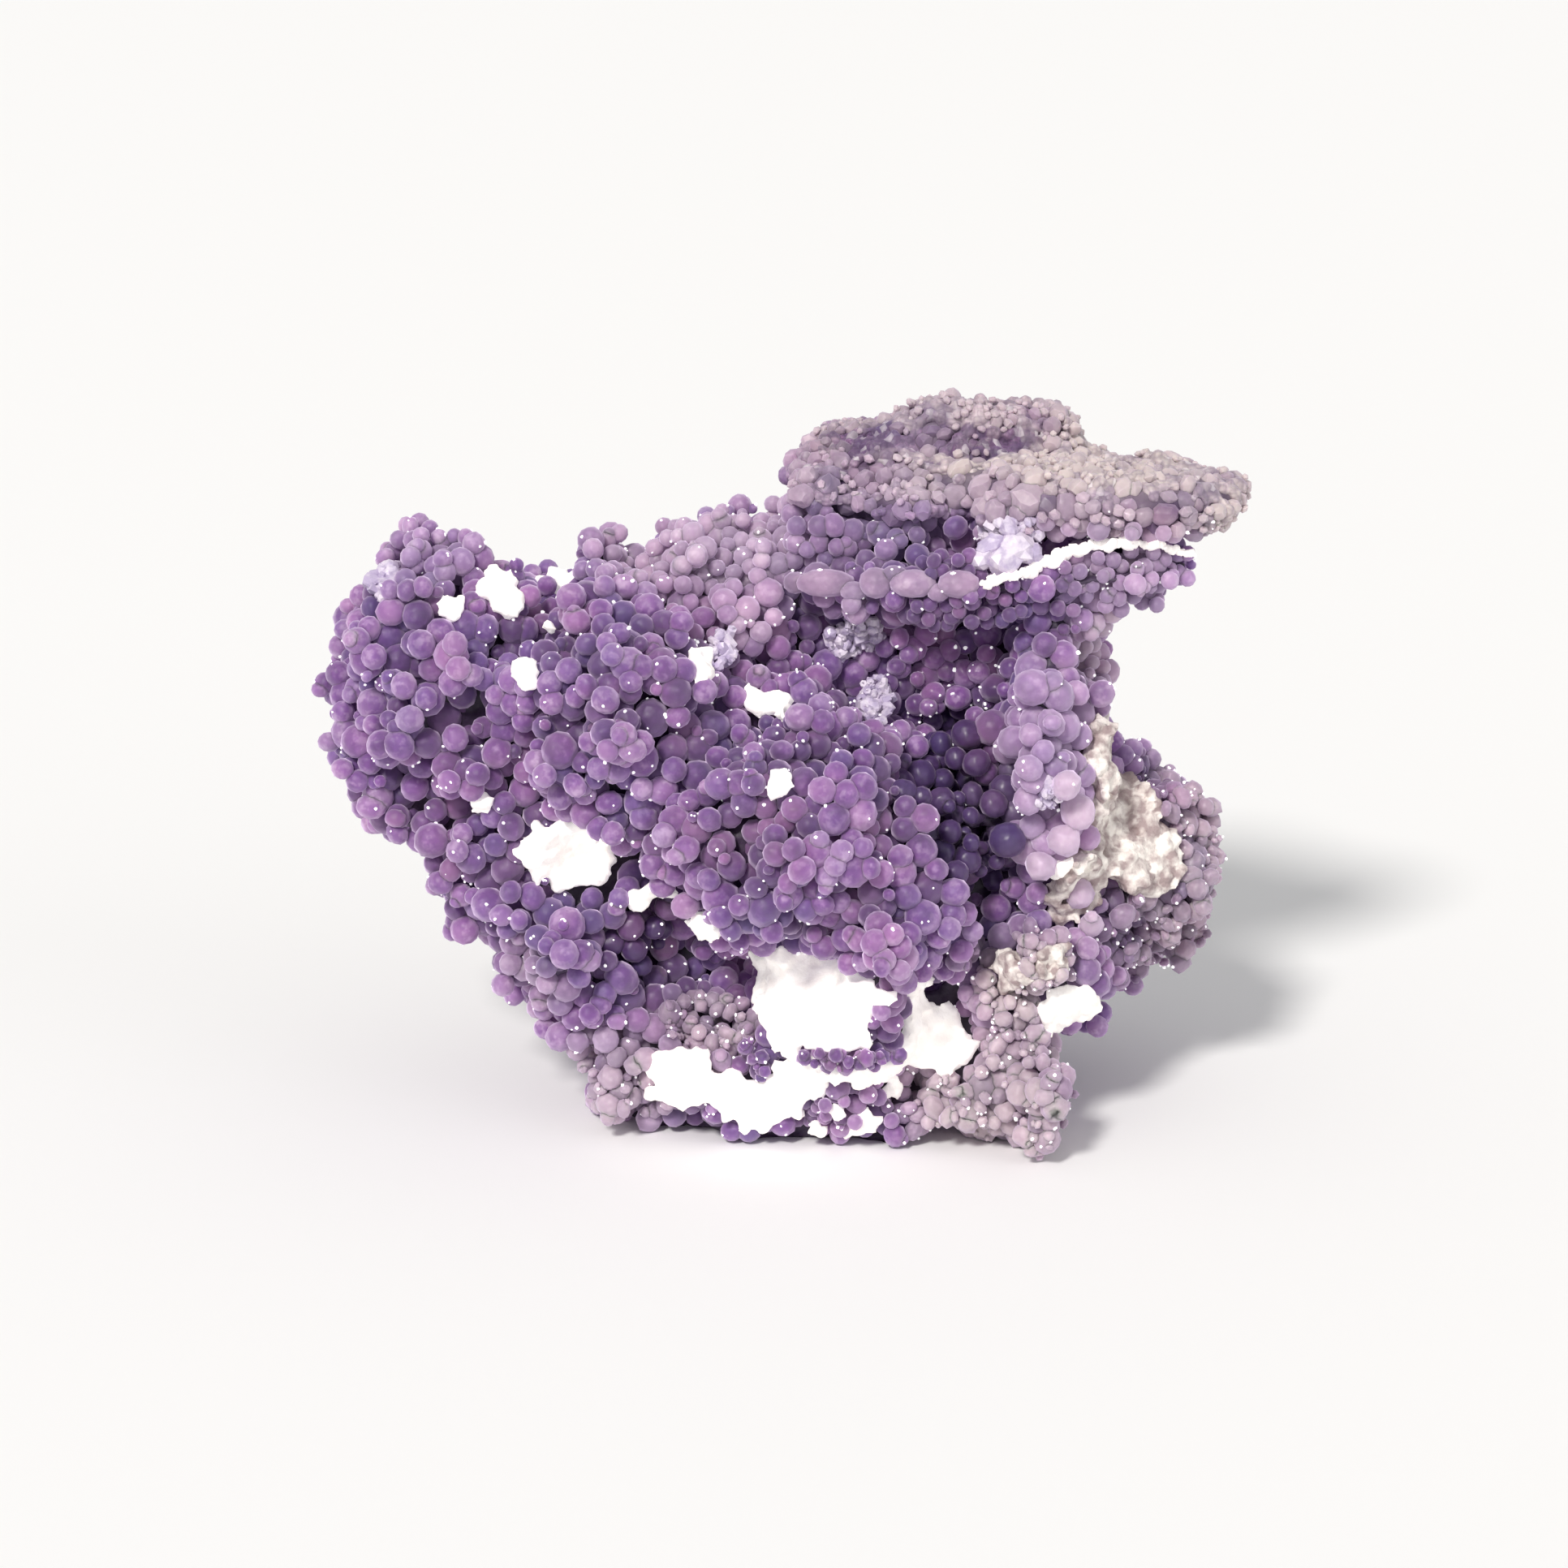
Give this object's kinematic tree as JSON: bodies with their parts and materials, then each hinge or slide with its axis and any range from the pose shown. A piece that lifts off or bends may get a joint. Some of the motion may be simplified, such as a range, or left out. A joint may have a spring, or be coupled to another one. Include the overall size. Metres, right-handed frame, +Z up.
{
  "type": "botryoidal chalcedony specimen",
  "caption": "Hand specimen of purple botryoidal chalcedony: grape-like beads fused over a knobbly mass, thin crusted ledges at the upper right, pale chalky matrix at its foot.",
  "frame": {"origin": "on the flat cut underside, below the middle of the stone", "axes": "+Z up out of the underside, +X to the right along the ledges as the specimen is seen from its front, +Y away from the front"},
  "size_m": [0.1145, 0.0715, 0.0879],
  "materials": {
    "chalcedony": "satin"
  },
  "bodies": {
    "root": {"chalcedony_specimen": "chalcedony"}
  },
  "joints": []
}
